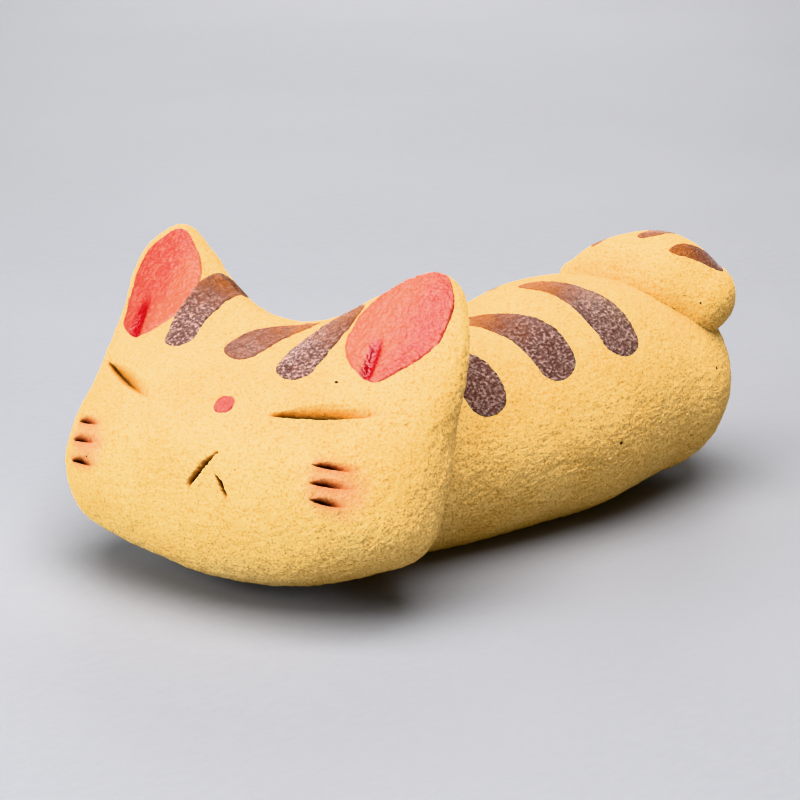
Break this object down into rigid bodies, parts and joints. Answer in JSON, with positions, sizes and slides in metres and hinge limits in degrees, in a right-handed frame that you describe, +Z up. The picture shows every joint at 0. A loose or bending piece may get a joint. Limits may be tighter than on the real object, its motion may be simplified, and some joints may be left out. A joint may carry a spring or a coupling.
{
  "type": "ceramic cat figurine",
  "caption": "Small sleeping cat figurine in matte yellow clay, with pinched ears, incised eyes, mouth and cheeks, and painted enamel stripes.",
  "frame": {"origin": "on the ground, under the middle of the whole cat's box", "axes": "+X from the head to the tail end along the body, +Y towards the cat's right side, +Z up"},
  "size_m": [0.0736, 0.0429, 0.031],
  "materials": {
    "body_clay": "matte unglazed yellow clay with a fine sandy grain",
    "head_clay": "matte unglazed yellow clay, with a pink blush on the cheeks",
    "tail_clay": "matte unglazed yellow clay, pitted at the tip",
    "ear_enamel": "satin coral enamel, glossy where it pooled",
    "nose_enamel": "satin coral enamel",
    "head_stripe_enamel": "grainy brown enamel, orange-brown where thin",
    "body_stripe_enamel": "grainy brown enamel, orange-brown where thin",
    "tail_stripe_enamel": "grainy brown enamel, orange-brown where thin"
  },
  "bodies": {
    "root": {"body": "body_clay", "head": "head_clay", "tail": "tail_clay", "ear_enamel_left": "ear_enamel", "ear_enamel_right": "ear_enamel", "nose_enamel": "nose_enamel", "forehead_stripe_left": "head_stripe_enamel", "forehead_stripe_middle": "head_stripe_enamel", "forehead_stripe_right": "head_stripe_enamel", "left_stripe_front": "body_stripe_enamel", "left_stripe_middle": "body_stripe_enamel", "left_stripe_rear": "body_stripe_enamel", "right_stripe_front": "body_stripe_enamel", "right_stripe_middle": "body_stripe_enamel", "right_stripe_rear": "body_stripe_enamel", "tail_stripe_upper": "tail_stripe_enamel", "tail_stripe_middle": "tail_stripe_enamel", "tail_stripe_tip": "tail_stripe_enamel"}
  },
  "joints": []
}
